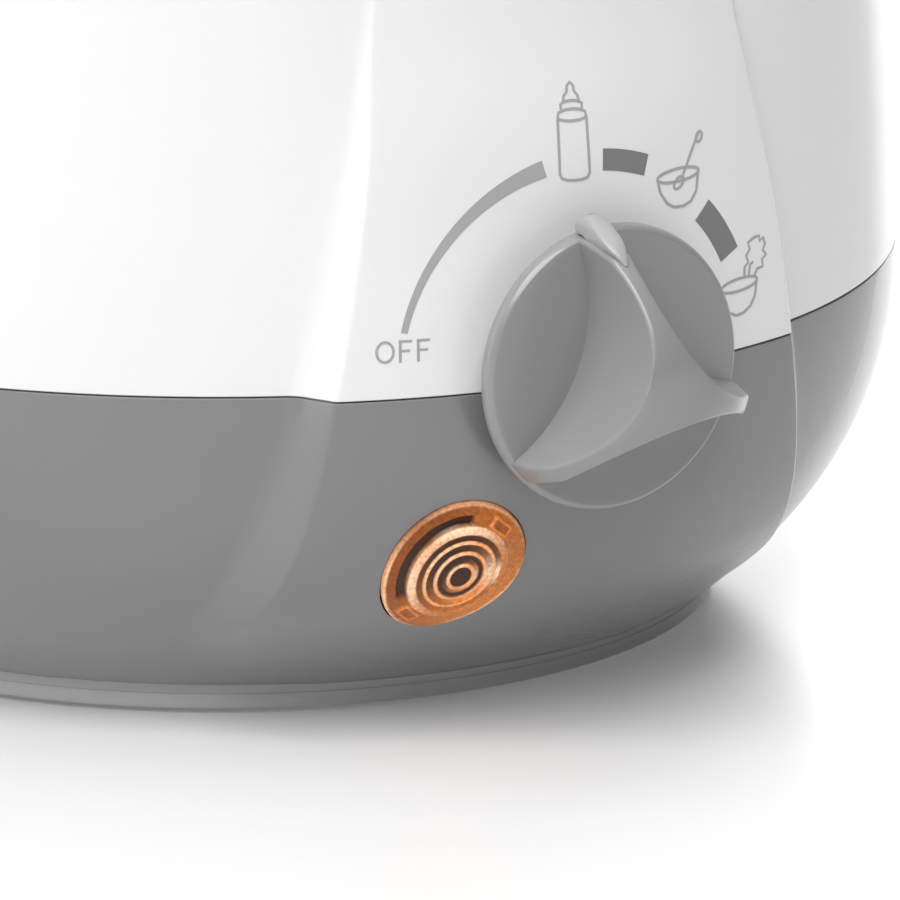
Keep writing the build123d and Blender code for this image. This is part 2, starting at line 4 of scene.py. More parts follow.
import bmesh
import bpy
import numpy as np
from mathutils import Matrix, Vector


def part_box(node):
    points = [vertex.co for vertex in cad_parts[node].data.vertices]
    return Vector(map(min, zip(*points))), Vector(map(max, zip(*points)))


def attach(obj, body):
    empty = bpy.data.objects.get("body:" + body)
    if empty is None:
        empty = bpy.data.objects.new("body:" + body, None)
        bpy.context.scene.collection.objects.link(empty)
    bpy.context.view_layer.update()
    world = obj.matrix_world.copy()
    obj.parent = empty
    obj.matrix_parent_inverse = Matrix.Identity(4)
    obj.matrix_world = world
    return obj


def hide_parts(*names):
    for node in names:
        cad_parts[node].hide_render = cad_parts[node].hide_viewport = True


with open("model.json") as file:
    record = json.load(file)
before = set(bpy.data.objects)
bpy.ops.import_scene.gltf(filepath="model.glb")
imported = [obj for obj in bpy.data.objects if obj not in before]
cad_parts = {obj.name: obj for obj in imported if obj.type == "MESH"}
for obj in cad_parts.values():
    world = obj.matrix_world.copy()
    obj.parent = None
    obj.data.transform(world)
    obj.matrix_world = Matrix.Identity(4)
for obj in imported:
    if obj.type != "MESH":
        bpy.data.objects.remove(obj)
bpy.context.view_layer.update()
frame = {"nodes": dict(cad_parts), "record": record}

MM = 0.001

# ---- Sizes shared by the pieces, in millimetres, taken from the frame ----------------
UPPER = [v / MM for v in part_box("upper_housing")[1]]
WELL = [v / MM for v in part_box("warming_well")[1]]
KNOB = [[v / MM for v in corner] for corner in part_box("knob")]
JOINT = frame["record"]["behaviour"]["joints"][0]
AXIS_Z = JOINT["pos_m"][2] / MM

SEAM_Z = 37.2
TOP_Z = UPPER[2]
BODY_R = UPPER[0]
SHOULDER = (56.0, 129.0)
CROWN_R = 49.0
POCKET_R = WELL[0] + 0.6
POCKET_Z = 132.6
WALL = 2.2
LENS_R = 7.05
LENS_X = -13.0
LENS_Z = 19.1


# ---- Small helpers --------------------------------------------------------------------
def bezier(points, t):
    """A point on a Bezier curve of any degree."""
    points = [np.array(p, float) for p in points]
    while len(points) > 1:
        points = [a * (1 - t) + b * t for a, b in zip(points, points[1:])]
    return points[0]


def through(a, b, c, steps):
    """Points along the circular arc from a to c through b."""
    ax, ay = a
    bx, by = b
    cx, cy = c
    d = 2 * (ax * (by - cy) + bx * (cy - ay) + cx * (ay - by))
    sa, sb, sc = ax**2 + ay**2, bx**2 + by**2, cx**2 + cy**2
    ux = (sa * (by - cy) + sb * (cy - ay) + sc * (ay - by)) / d
    uy = (sa * (cx - bx) + sb * (ax - cx) + sc * (bx - ax)) / d
    r = math.hypot(ax - ux, ay - uy)
    first = math.atan2(ay - uy, ax - ux)
    last = math.atan2(cy - uy, cx - ux)
    turn = (last - first + math.pi) % (2 * math.pi) - math.pi
    angles = [first + turn * k / steps for k in range(steps + 1)]
    return [(ux + r * math.cos(t), uy + r * math.sin(t)) for t in angles]


def smooth_step(x, low, high):
    t = min(max((x - low) / (high - low), 0.0), 1.0)
    return t * t * (3 - 2 * t)


def build(name, verts, faces, materials, body="root", angle=40):
    """A mesh object from millimetre coordinates, shaded smooth up to an angle."""
    mesh = bpy.data.meshes.new(name)
    mesh.from_pydata([(x * MM, y * MM, z * MM) for x, y, z in verts], [], faces)
    bm = bmesh.new()
    bm.from_mesh(mesh)
    bmesh.ops.remove_doubles(bm, verts=bm.verts, dist=1e-7)
    bmesh.ops.recalc_face_normals(bm, faces=bm.faces)
    bm.to_mesh(mesh)
    bm.free()
    for material in materials:
        mesh.materials.append(material)
    mesh.polygons.foreach_set("use_smooth", [True] * len(mesh.polygons))
    mesh.set_sharp_from_angle(angle=math.radians(angle))
    piece = bpy.data.objects.new(name, mesh)
    bpy.context.scene.collection.objects.link(piece)
    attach(piece, body)
    return piece


def grid_faces(rows, columns, close_rows, close_columns):
    faces = []
    for i in range(rows if close_rows else rows - 1):
        for j in range(columns if close_columns else columns - 1):
            a, b = i * columns + j, i * columns + (j + 1) % columns
            c, d = ((i + 1) % rows) * columns + (j + 1) % columns, ((i + 1) % rows) * columns + j
            faces.append((a, b, c, d))
    return faces


def lathe(profile, steps):
    """Verts and faces of a closed profile turned about the vertical axis."""
    verts = []
    for r, z in profile:
        for k in range(steps):
            t = 2 * math.pi * k / steps
            verts.append((r * math.cos(t), r * math.sin(t), z))
    return verts, grid_faces(len(profile), steps, True, True)


# ---- Materials --------------------------------------------------------------------------
class Look:
    """A Principled material whose colour, roughness and bump vary with procedural noise."""

    def __init__(self, name, colour, rough, **inputs):
        self.material = bpy.data.materials.new(name)
        self.material.use_nodes = True
        self.tree = self.material.node_tree
        self.shader = self.tree.nodes["Principled BSDF"]
        self.shader.inputs["Base Color"].default_value = (*colour, 1)
        self.shader.inputs["Roughness"].default_value = rough
        for key, value in inputs.items():
            self.shader.inputs[key.replace("_", " ")].default_value = value
        self.colour, self.rough = colour, rough
        self.where = self.tree.nodes.new("ShaderNodeTexCoord").outputs["Object"]
        self.bump_normal = None

    def link(self, a, b):
        self.tree.links.new(a, b)

    def noise(self, scale, detail=3.0, stretch=None):
        node = self.tree.nodes.new("ShaderNodeTexNoise")
        node.inputs["Scale"].default_value = scale
        node.inputs["Detail"].default_value = detail
        where = self.where
        if stretch:
            mapping = self.tree.nodes.new("ShaderNodeMapping")
            mapping.inputs["Scale"].default_value = stretch
            self.link(where, mapping.inputs["Vector"])
            where = mapping.outputs["Vector"]
        self.link(where, node.inputs["Vector"])
        return node.outputs["Fac"]

    def ramp(self, source, low, high, start=0.3, end=0.7):
        node = self.tree.nodes.new("ShaderNodeMapRange")
        node.inputs["From Min"].default_value = start
        node.inputs["From Max"].default_value = end
        node.inputs["To Min"].default_value = low
        node.inputs["To Max"].default_value = high
        self.link(source, node.inputs["Value"])
        return node.outputs["Result"]

    def mottle(self, scale, amount, detail=4.0):
        """Slight lightening and darkening of the base colour."""
        node = self.tree.nodes.new("ShaderNodeMix")
        node.data_type = "RGBA"
        dark = [c * (1 - amount) for c in self.colour]
        light = [min(c * (1 + amount), 1) for c in self.colour]
        node.inputs["A"].default_value = (*dark, 1)
        node.inputs["B"].default_value = (*light, 1)
        self.link(self.noise(scale, detail), node.inputs["Factor"])
        self.link(node.outputs["Result"], self.shader.inputs["Base Color"])
        return self

    def smudge(self, scale, amount):
        """Roughness that wanders about its mean, as handling leaves it."""
        low, high = max(self.rough - amount, 0.02), self.rough + amount
        out = self.ramp(self.noise(scale, 5.0), low, high, 0.1, 0.9)
        self.link(out, self.shader.inputs["Roughness"])
        return self

    def bump(self, scale, distance, strength=0.3, detail=2.0, stretch=None):
        node = self.tree.nodes.new("ShaderNodeBump")
        node.inputs["Strength"].default_value = strength
        node.inputs["Distance"].default_value = distance
        self.link(self.noise(scale, detail, stretch), node.inputs["Height"])
        if self.bump_normal:
            self.link(self.bump_normal, node.inputs["Normal"])
        self.bump_normal = node.outputs["Normal"]
        self.link(self.bump_normal, self.shader.inputs["Normal"])
        return self


def plastic(name, colour, rough, grain=2600, coat=0.0, depth=0.00002):
    """A moulded plastic: nearly even colour, slight handling marks and a very fine grain."""
    look = Look(name, colour, rough, Coat_Weight=coat, Coat_Roughness=0.08, IOR=1.5)
    return look.mottle(38, 0.008).smudge(30, rough * 0.05).bump(
        grain, depth, 0.10).bump(14, 0.0003, 0.03).material


def metal(name, colour, rough, stretch=(1, 1, 1), scale=900):
    """A bare metal, brushed along one axis where stretch says so."""
    look = Look(name, colour, rough, Metallic=1.0)
    return look.mottle(60, 0.06).smudge(80, rough * 0.3).bump(
        scale, 0.00003, 0.25, 3.0, stretch).material


WHITE = plastic("white_plastic", (0.76, 0.76, 0.76), 0.22, coat=0.3)
GREY = plastic("grey_plastic", (0.185, 0.185, 0.186), 0.26, coat=0.5)
BASE_GREY = plastic("base_plastic", (0.50, 0.50, 0.502), 0.38)
TRIM_GREY = plastic("trim_plastic", (0.25, 0.25, 0.252), 0.32)
KNOB_GREY = plastic("knob_plastic", (0.25, 0.25, 0.252), 0.30, coat=0.4)
LIGHT_GREY = plastic("pointer_plastic", (0.36, 0.36, 0.362), 0.30, coat=0.2)
BUSH_GREY = plastic("bush_rubber", (0.10, 0.10, 0.102), 0.6, grain=1500)
BLACK = plastic("black_moulding", (0.018, 0.018, 0.019), 0.42)
IVORY = plastic("white_moulding", (0.74, 0.73, 0.70), 0.4)
RUBBER = plastic("foot_rubber", (0.022, 0.022, 0.023), 0.75, grain=1200, depth=0.00006)
SILICONE = plastic("silicone", (0.62, 0.60, 0.58), 0.55)
SLEEVE = plastic("lead_sleeve", (0.55, 0.06, 0.04), 0.4)
GLASS_SLEEVE = Look("glass_sleeve", (0.72, 0.70, 0.62), 0.7).mottle(300, 0.15).bump(
    1400, 0.0001, 0.5, 1.0, (1, 1, 4)).material
BOARD = Look("circuit_board", (0.03, 0.12, 0.05), 0.35, Coat_Weight=0.5).mottle(
    220, 0.25).smudge(90, 0.08).bump(500, 0.00008, 0.2).material
COATED = Look("coated_well", (0.34, 0.34, 0.345), 0.42, Metallic=0.35).mottle(
    900, 0.18, 1.0).smudge(70, 0.1).bump(1800, 0.00003, 0.3).material
ALUMINIUM = metal("cast_aluminium", (0.62, 0.62, 0.63), 0.48, scale=500)
ELEMENT = metal("element_steel", (0.36, 0.31, 0.27), 0.45)
STEEL = metal("pressed_steel", (0.52, 0.53, 0.54), 0.32, (1, 12, 1))
ZINC = metal("zinc_steel", (0.60, 0.61, 0.60), 0.30)
SPRING = metal("spring_steel", (0.42, 0.42, 0.43), 0.28)
BRASS = metal("brass_shaft", (0.72, 0.52, 0.22), 0.27, (1, 1, 8))
FUSE = metal("fuse_body", (0.66, 0.66, 0.67), 0.25)
COPPER = metal("sensor_sleeve", (0.60, 0.36, 0.25), 0.30)
INK = plastic("dial_ink", (0.36, 0.36, 0.362), 0.5, grain=5000, depth=0.000008)
DARK_INK = plastic("dial_ink_dark", (0.19, 0.19, 0.192), 0.5, grain=5000, depth=0.000008)

FINISH = {
    "base_plate": BASE_GREY, "rim_ring": TRIM_GREY, "knob": KNOB_GREY,
    "knob_pointer": LIGHT_GREY, "cord_inlet_bush": BUSH_GREY, "warming_well": COATED,
    "heating_plate": ALUMINIUM, "heater_element": ELEMENT, "heater_clamp": STEEL,
    "fuse_clip": STEEL, "clamp_nut": ZINC, "housing_screws": ZINC, "base_screws": ZINC,
    "board_screws": ZINC, "sensor_band": SPRING, "knob_spring": SPRING,
    "switch_shaft": BRASS, "control_board": BOARD, "rotary_switch": BLACK,
    "led_holder": IVORY, "terminal_block": IVORY, "thermal_fuse": FUSE,
    "temperature_sensor": COPPER, "supply_leads": SLEEVE, "heater_leads": GLASS_SLEEVE,
    "well_seal": SILICONE, "foot_ring": RUBBER, "upper_housing": WHITE,
    "lower_housing": GREY,
}


# ---- Housing surface --------------------------------------------------------------------
CURVE_STEPS = 60          # points along each curve of a profile
FOOT_R, FOOT_Z = 51.8, 4.0          # lower edge of the grey bowl
SLOPE = math.radians(39)  # of the bowl at that edge
BOWL_REACH, BOWL_DROP = 14.75, 13.4          # its tangents at the edge and at the seam
BOWL = [(FOOT_R, FOOT_Z),
        (FOOT_R + BOWL_REACH * math.cos(SLOPE), FOOT_Z + BOWL_REACH * math.sin(SLOPE)),
        (BODY_R, SEAM_Z - BOWL_DROP), (BODY_R, SEAM_Z)]
UNDER_R, UNDER_Z = 50.8, 3.3          # the edge turned under, above the base
SIDE_MIDDLE = (64.75, 83)  # a point halfway up the white side
bowl_line = [bezier(BOWL, k / CURVE_STEPS) for k in range(CURVE_STEPS + 1)]
side_line = through((BODY_R, SEAM_Z), SIDE_MIDDLE, SHOULDER, CURVE_STEPS)
BODY_LINE = np.array([(UNDER_R, UNDER_Z)] + [tuple(p) for p in bowl_line] + side_line[1:])
PANEL_R, PANEL_FULL_Z = 71.05, 40.0          # the panel's face where it is fullest
PANEL_FOOT_Z = 3.2
PANEL_ARC = 106.4         # its upright curvature above that height
PANEL_END_Z = 100         # above here the face has run out into the body
PANEL_LOW = [(50.3, PANEL_FOOT_Z), (66.1, 13.75), (PANEL_R, 17.0), (PANEL_R, PANEL_FULL_Z)]
PANEL_LINE = np.array([bezier(PANEL_LOW, k / CURVE_STEPS) for k in range(CURVE_STEPS + 1)])
CREASE = 0.30             # how far the panel always stands out, below its top


def body_radius(z):
    """The plain round body's radius at a height."""
    return float(np.interp(z, BODY_LINE[:, 1], BODY_LINE[:, 0]))


def panel_face(z):
    """Radius of the panel's face, which runs out into the plain body at its top."""
    if z < PANEL_FULL_Z:
        face = float(np.interp(z, PANEL_LINE[:, 1], PANEL_LINE[:, 0]))
    elif z < PANEL_END_Z:
        face = PANEL_R - PANEL_ARC + math.sqrt(PANEL_ARC**2 - (z - PANEL_FULL_Z) ** 2)
    else:
        face = 0.0
    body = body_radius(z)
    crease = CREASE * (1 - smooth_step(z, 78, 118))
    gap = face - body - crease
    blend = 0.5 if z > 50 else 0.12
    return body + crease + (gap + math.sqrt(gap * gap + blend * blend)) / 2


TABLE_STEP, TABLE_ROWS = 0.25, 520
PANEL_TABLE = [panel_face(PANEL_FOOT_Z + TABLE_STEP * k) for k in range(TABLE_ROWS)]


def panel_radius(z):
    """The face's radius at a height, read from the table."""
    place = min(max((z - PANEL_FOOT_Z) / TABLE_STEP, 0), TABLE_ROWS - 2)
    k = int(place)
    return PANEL_TABLE[k] + (PANEL_TABLE[k + 1] - PANEL_TABLE[k]) * (place - k)


def edge_angle(z, radius):
    """Half angle of the panel's front edge."""
    half = 29.3 - 0.164 * (z - 18)
    if z < 14:
        half -= 0.115 * (14 - z) ** 2
    return math.asin(min(half / radius, 0.9))


def flank_angle(z):
    """How much further round the flank reaches, from the edge to its foot."""
    return math.radians(max(5.0 - 4.1 * (z - 13.5) / 47.5, 0.85))


EDGE_FILLET = 0.75
FOOT_FILLET = 3.0
ROUND = 0.56              # a handle's share of the reach that gives a round corner
PANEL_STEPS, FILLET_STEPS, FLANK_STEPS, BODY_STEPS = 26, 6, 4, 90


def section(z, body=None, panel=None, shape_z=None):
    """Half outline from the panel's middle to the back: (x, forward) points in plan."""
    key_z = z if shape_z is None else shape_z
    rb = body_radius(z) if body is None else body
    rp = panel_radius(z) if panel is None else panel
    nominal = panel_radius(key_z)
    af = edge_angle(key_z, nominal)
    ab = af + flank_angle(key_z)
    f = np.array([rp * math.sin(af), rp * math.cos(af)])
    b = np.array([rb * math.sin(ab), rb * math.cos(ab)])
    length = float(np.linalg.norm(b - f))
    d = (b - f) / length
    tf = np.array([math.cos(af), -math.sin(af)])
    tb = np.array([math.cos(ab), -math.sin(ab)])
    turn_f = math.acos(max(min(float(tf @ d), 1), -1))
    turn_b = math.acos(max(min(float(tb @ d), 1), -1))
    reach_f = min(max(EDGE_FILLET * math.tan(turn_f / 2), 0.2), 0.38 * length)
    reach_b = min(max(FOOT_FILLET * math.tan(turn_b / 2), 0.2), 0.5 * length)
    points = []
    last = af - reach_f / rp
    for k in range(PANEL_STEPS + 1):
        t = last * k / PANEL_STEPS
        points.append(np.array([rp * math.sin(t), rp * math.cos(t)]))
    start = points[-1]
    handle = start + np.array([math.cos(last), -math.sin(last)]) * reach_f * ROUND
    end = f + d * reach_f
    points += [bezier([start, handle, end - d * reach_f * ROUND, end], k / FILLET_STEPS)
               for k in range(1, FILLET_STEPS + 1)]
    foot = b - d * reach_b
    points += [end + (foot - end) * k / FLANK_STEPS for k in range(1, FLANK_STEPS + 1)]
    first = ab + reach_b / rb
    goal = np.array([rb * math.sin(first), rb * math.cos(first)])
    lead_in = np.array([math.cos(first), -math.sin(first)])
    points += [bezier([foot, foot + d * reach_b * ROUND, goal - lead_in * reach_b * ROUND, goal],
                      k / FILLET_STEPS) for k in range(1, FILLET_STEPS + 1)]
    for k in range(1, BODY_STEPS + 1):
        t = first + (math.pi - first) * k / BODY_STEPS
        points.append(np.array([rb * math.sin(t), rb * math.cos(t)]))
    return points


def ring_of(half, z):
    """The whole closed ring of points from a half outline."""
    right = [(p[0], -p[1], z) for p in half]
    left = [(-p[0], -p[1], z) for p in half[1:-1]]
    return right + left[::-1]


def shell(rows):
    """Verts and faces of a closed wall. A row is (z, inset) or (z, radius, 'round')."""
    verts = []
    for row in rows:
        if len(row) == 3:
            z, radius, shape_z = row
            half = section(z, radius, radius, shape_z)
        else:
            z, inset = row
            key = min(max(z, UNDER_Z), SHOULDER[1])
            half = section(z, body_radius(key) - inset, panel_radius(key) - inset, key)
        verts += ring_of(half, z)
    columns = 2 * (len(half) - 1)
    return verts, grid_faces(len(rows), columns, True, True)


def spaced(a, b, step):
    """Even values from a to b, about a step apart."""
    n = max(int(round(abs(b - a) / step)), 1)
    return [a + (b - a) * k / n for k in range(n + 1)]


SHELL_ANGLE = 32          # degrees; sharper edges of the shells stay sharp


# ---- Upper housing ----------------------------------------------------------------------
GAP = 0.07                # half of the parting groove
SHOULDER_Z = SHOULDER[1]
MOUTH_R = 42.2            # the hole that the well hangs through
SEAM_STEP = 40.4          # top of the upper housing's rebate
upper_rows = [(SEAM_Z + GAP, 0.22), (SEAM_Z + GAP + 0.03, 0.08), (SEAM_Z + GAP + 0.10, 0.01)]
upper_rows += [(z, 0.0) for z in spaced(SEAM_Z + GAP + 0.25, 60, 1.3)]
upper_rows += [(z, 0.0) for z in spaced(60, SHOULDER_Z, 2.2)[1:]]
roll = [bezier([SHOULDER, (54.6, 134.6), (52.5, TOP_Z), (CROWN_R, TOP_Z)], k / 14)
        for k in range(1, 15)]
upper_rows += [(p[1], p[0], SHOULDER_Z) for p in roll]
upper_rows += [(z, r, SHOULDER_Z) for z, r in (
    (TOP_Z, POCKET_R + 0.5), (TOP_Z - 0.08, POCKET_R + 0.12), (TOP_Z - 0.4, POCKET_R),
    (POCKET_Z, POCKET_R), (POCKET_Z, MOUTH_R), (POCKET_Z - 4.2, MOUTH_R), (POCKET_Z - 4.2, 50.5))]
upper_rows += [(z, WALL) for z in spaced(127.5, 60, 4.0)]
upper_rows += [(z, WALL) for z in spaced(60, 41, 2.0)[1:]]
upper_rows += [(SEAM_STEP, WALL), (SEAM_STEP, 0.30), (SEAM_Z + GAP, 0.30)]
verts, faces = shell(upper_rows)
upper_shell = build("upper_shell", verts, faces, [WHITE],
                    angle=SHELL_ANGLE)
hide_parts("upper_housing")

# ---- Lower housing ----------------------------------------------------------------------
TONGUE_Z = 39.9           # top of the tongue inside the upper housing
lower_rows = [(UNDER_Z, UNDER_R - 1.0, UNDER_Z), (UNDER_Z, 0.15), (UNDER_Z + 0.2, 0.03)]
lower_rows += [(z, 0.0) for z in spaced(3.9, 14, 0.8)]
lower_rows += [(z, 0.0) for z in spaced(14, SEAM_Z - GAP - 0.25, 1.2)[1:]]
lower_rows += [(SEAM_Z - GAP - 0.10, 0.01), (SEAM_Z - GAP - 0.03, 0.08),
               (SEAM_Z - GAP, 0.22), (SEAM_Z - GAP, 0.40), (TONGUE_Z, 0.40), (TONGUE_Z, 1.9), (36, 2.3)]
lower_rows += [(z, WALL + 0.1) for z in spaced(34, 9, 2.0)]
lower_rows += [(6.2, 4.5), (5.5, 6.5), (5.5, 30.0, 5.5), (UNDER_Z, 30.0, UNDER_Z)]
verts, faces = shell(lower_rows)
lower_shell = build("lower_shell", verts, faces, [GREY],
                    angle=SHELL_ANGLE)
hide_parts("lower_housing")


# ---- Base edge: a smooth band with one groove, round the base plate ----------------------
BAND_R, BAND_IN, GROOVE_R = 49.56, 48.2, 49.40
BAND_LOW, BAND_HIGH = 0.42, 3.05
verts, faces = lathe([(BAND_IN, BAND_LOW), (49.0, BAND_LOW), (49.35, 0.55), (49.52, 0.85),
                      (BAND_R, 1.2), (BAND_R, 2.05), (GROOVE_R, 2.12), (GROOVE_R, 2.28),
                      (BAND_R, 2.35), (BAND_R, BAND_HIGH), (BAND_IN, BAND_HIGH)], 256)
build("base_band", verts, faces, [BASE_GREY], angle=40)


# ---- Openings in the housings -----------------------------------------------------------
def cutter(name, radius, x, z, low, high):
    """A round bar along Y, used to open the housings and then removed."""
    steps = 96
    verts = []
    for y in (low, high):
        for k in range(steps):
            t = 2 * math.pi * k / steps
            verts.append(((x + radius * math.cos(t)) * MM, y * MM, (z + radius * math.sin(t)) * MM))
    faces = [(k, (k + 1) % steps, steps + (k + 1) % steps, steps + k) for k in range(steps)]
    faces += [tuple(range(steps))[::-1], tuple(range(steps, 2 * steps))]
    mesh = bpy.data.meshes.new(name)
    mesh.from_pydata(verts, [], faces)
    bm = bmesh.new()
    bm.from_mesh(mesh)
    bmesh.ops.recalc_face_normals(bm, faces=bm.faces)
    bm.to_mesh(mesh)
    bm.free()
    bar = bpy.data.objects.new(name, mesh)
    bpy.context.scene.collection.objects.link(bar)
    return bar


def open_up(piece, bars):
    """Cut the bars out of a piece and keep the result as its mesh."""
    for bar in bars:
        cut = piece.modifiers.new("cut", "BOOLEAN")
        cut.operation = "DIFFERENCE"
        cut.solver = "EXACT"
        cut.object = bar
    bpy.context.view_layer.update()
    graph = bpy.context.evaluated_depsgraph_get()
    mesh = bpy.data.meshes.new_from_object(piece.evaluated_get(graph))
    old = piece.data
    piece.modifiers.clear()
    piece.data = mesh
    bpy.data.meshes.remove(old)
    mesh.name = piece.name
    mesh.polygons.foreach_set("use_smooth", [True] * len(mesh.polygons))
    mesh.set_sharp_from_angle(angle=math.radians(SHELL_ANGLE))


FRONT, BACK = (-90, -50), (50, 90)          # how far along Y a bar reaches
SHAFT_HOLE_R, CORD_HOLE_R, CORD_Z = 4.2, 6.0, 20.0
shaft_bar = cutter("shaft_bar", SHAFT_HOLE_R, 0, AXIS_Z, *FRONT)
lens_bar = cutter("lens_bar", LENS_R + 0.15, LENS_X, LENS_Z, *FRONT)
cord_bar = cutter("cord_bar", CORD_HOLE_R, 0, CORD_Z, *BACK)
open_up(upper_shell, [shaft_bar])
open_up(lower_shell, [shaft_bar, lens_bar, cord_bar])
for bar in (shaft_bar, lens_bar, cord_bar):
    bpy.data.objects.remove(bar)

# ---- Knob -------------------------------------------------------------------------------
KNOB_TIP = -KNOB[0][1]
KNOB_R = 14.3
FACE_Y = 74.9
BACK_Y = 73.3
POINTER_DEG = -11.0
FLANK_CENTRE, FLANK_R, FLANK_DRAFT = 21.1, 17.05, math.tan(math.radians(2.8))
CROWN_FLAT, CROWN_FALL = 1.2, 0.052          # the crown is level, then falls as a parabola
ARM_FOOT_R, ARM_TOP_R = 14.1, 12.8          # where the arms stop, at the face and at the crown
SIXTH = math.radians(60)
BISECTOR = np.array([0.5, math.sqrt(0.75)])


def crown_height(r):
    """How far out the grip's crown is at a radius from the knob's axis."""
    return KNOB_TIP - CROWN_FALL * max(r - CROWN_FLAT, 0) ** 2


def crown_radius(height):
    """The radius at which the grip's crown is at this height."""
    return CROWN_FLAT + math.sqrt(max(KNOB_TIP - height, 0.0) / CROWN_FALL)


def end_radius(height):
    """Where the arms stop at this height: their blunt ends lean in towards the crown."""
    t = min(max((height - FACE_Y) / (crown_height(ARM_TOP_R) - FACE_Y), 0), 1)
    return ARM_FOOT_R - (ARM_FOOT_R - ARM_TOP_R) * t**1.5


def on_knob(u, v, out):
    """From the knob's face (u right, v up) and a distance from the body's axis."""
    return (u, -out, AXIS_Z + v)


ARC_STEPS, CREST_STEPS, HOLLOW_STEPS = 7, 5, 16


def grip_outline(height):
    """One closed section of the three-armed grip, in polar steps from each arm."""
    rc = min(crown_radius(height), end_radius(height))
    rf = FLANK_R + (height - FACE_Y) * FLANK_DRAFT
    nearest = FLANK_CENTRE - rf
    cut = rc > nearest + 0.05
    if cut:
        cosine = (rc**2 + FLANK_CENTRE**2 - rf**2) / (2 * rc * FLANK_CENTRE)
        gamma = SIXTH - math.acos(min(cosine, 1))
    else:
        gamma = SIXTH
    gamma = min(gamma, math.radians(58.5))
    side = []
    hit = np.array([rc * math.cos(gamma), rc * math.sin(gamma)])
    centre = FLANK_CENTRE * BISECTOR
    middle = BISECTOR * min(nearest, rc)
    first = math.atan2(*(hit - centre)[::-1])
    last = math.radians(240)
    first = first % (2 * math.pi)

    def flank(t):
        if not cut:
            turn = gamma + (SIXTH - gamma) * t
            return rc * np.array([math.cos(turn), math.sin(turn)])
        turn = first + (last - first) * t
        return centre + rf * np.array([math.cos(turn), math.sin(turn)])

    # The crest between the arm's end and the flank is rounded over this reach.
    arc_length = rc * gamma
    flank_length = rf * abs(last - first) if cut else rc * (SIXTH - gamma)
    reach = min(0.55, 0.45 * arc_length, 0.45 * flank_length)
    for k in range(ARC_STEPS + 1):
        turn = (gamma - reach / max(rc, 0.01)) * k / ARC_STEPS
        side.append(rc * np.array([math.cos(turn), math.sin(turn)]))
    start = side[-1]
    end = flank(reach / max(flank_length, 1e-6))
    side += [bezier([start, hit * 0.62 + start * 0.38, hit * 0.62 + end * 0.38, end],
                    k / CREST_STEPS) for k in range(1, CREST_STEPS + 1)]
    first_t = reach / max(flank_length, 1e-6)
    side += [flank(first_t + (1 - first_t) * k / HOLLOW_STEPS)
             for k in range(1, HOLLOW_STEPS + 1)]
    if not cut:
        side[-1] = middle
    points = []
    for arm in range(3):
        spin = math.radians(90 - POINTER_DEG + 120 * arm)
        c, s_ = math.cos(spin), math.sin(spin)
        whole = [np.array([p[0], -p[1]]) for p in side[1:]][::-1] + side[:-1]
        points += [(p[0] * c - p[1] * s_, p[0] * s_ + p[1] * c) for p in whole]
    return points


heights = [FACE_Y - 0.6, FACE_Y] + [FACE_Y + 0.25 * k for k in range(1, 44)]
CAP = 1.4                 # the crown's top is cut into finer steps over this depth
heights = [h for h in heights if h < KNOB_TIP - CAP]
heights += [KNOB_TIP - d for d in (CAP, 1.1, 0.85, 0.65, 0.5, 0.36, 0.24, 0.14, 0.07, 0.03, 0.01)]
verts, count = [], 0
for height in heights:
    outline_points = grip_outline(height)
    count = len(outline_points)
    verts += [on_knob(p[0], p[1], height) for p in outline_points]
faces = grid_faces(len(heights), count, False, True)
faces.append(tuple(range(count)))
top = len(verts)
verts.append(on_knob(0, 0, KNOB_TIP))
base_row = (len(heights) - 1) * count
faces += [(base_row + k, base_row + (k + 1) % count, top) for k in range(count)]
knob_grip = build("knob_grip", verts, faces, [KNOB_GREY], "knob", angle=50)

disc = [(2.4, BACK_Y - 1.4), (4.0, BACK_Y - 1.4), (4.0, BACK_Y), (KNOB_R - 0.3, BACK_Y),
        (KNOB_R - 0.08, BACK_Y + 0.1), (KNOB_R, BACK_Y + 0.35), (KNOB_R, BACK_Y + 0.6)]
disc += through((KNOB_R, BACK_Y + 0.62), (KNOB_R - 0.12, FACE_Y - 0.55),
                (KNOB_R - 0.42, FACE_Y - 0.18), 5)
disc += through((KNOB_R - 0.40, FACE_Y - 0.15), (KNOB_R - 0.52, FACE_Y - 0.04),
                (KNOB_R - 0.68, FACE_Y), 3)
disc += [(KNOB_R - 1.2, FACE_Y), (10, FACE_Y), (5, FACE_Y), (2.4, FACE_Y)]
verts = []
STEPS = 192
for r, out in disc:
    for k in range(STEPS):
        t = 2 * math.pi * k / STEPS
        verts.append(on_knob(r * math.cos(t), r * math.sin(t), out))
knob_disc = build("knob_disc", verts, grid_faces(len(disc), STEPS, True, True), [KNOB_GREY],
                  "knob", angle=50)
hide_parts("knob")
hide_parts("knob")

